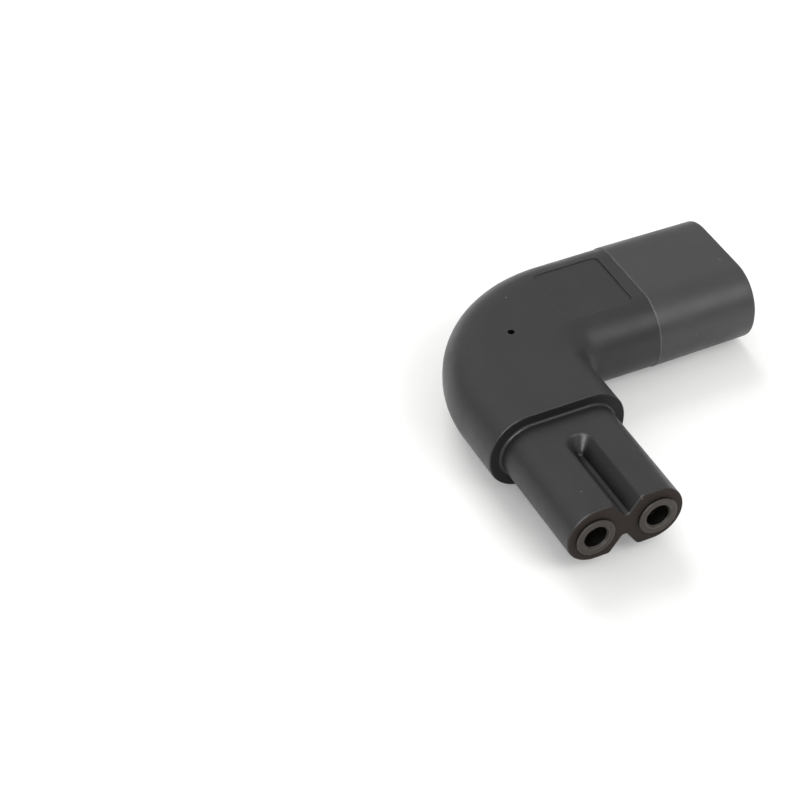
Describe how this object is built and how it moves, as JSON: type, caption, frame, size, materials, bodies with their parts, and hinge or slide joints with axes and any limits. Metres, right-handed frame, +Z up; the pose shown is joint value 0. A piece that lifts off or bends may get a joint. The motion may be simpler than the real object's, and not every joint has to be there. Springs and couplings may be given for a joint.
{
  "type": "figure eight power connector",
  "caption": "Right-angle mains adapter: a figure-eight plug nose with keyed grooves on one leg and a matching pin inlet in an oval shroud on the other.",
  "frame": {"origin": "on the elbow's flat underside, below the point where the two connector axes cross", "axes": "+Z up through the thickness, -Y out along the plug nose, +X out along the pin inlet"},
  "size_m": [0.0445, 0.046, 0.0113],
  "materials": {
    "soft_moulding": "satin",
    "rigid_shroud": "fine matt",
    "insert_plastic": "satin",
    "contact_metal": "plain",
    "pin_metal": "turned",
    "conductor": "plain",
    "insulation_brown": "satin",
    "insulation_blue": "satin"
  },
  "bodies": {
    "root": {"overmould_body": "soft_moulding", "inlet_shroud": "rigid_shroud", "socket_insert": "insert_plastic", "contact_outer": "contact_metal", "contact_inner": "contact_metal", "pin_outer": "pin_metal", "pin_inner": "pin_metal", "wire_outer": "conductor", "wire_inner": "conductor", "insulation_outer": "insulation_brown", "insulation_inner": "insulation_blue"}
  },
  "joints": []
}
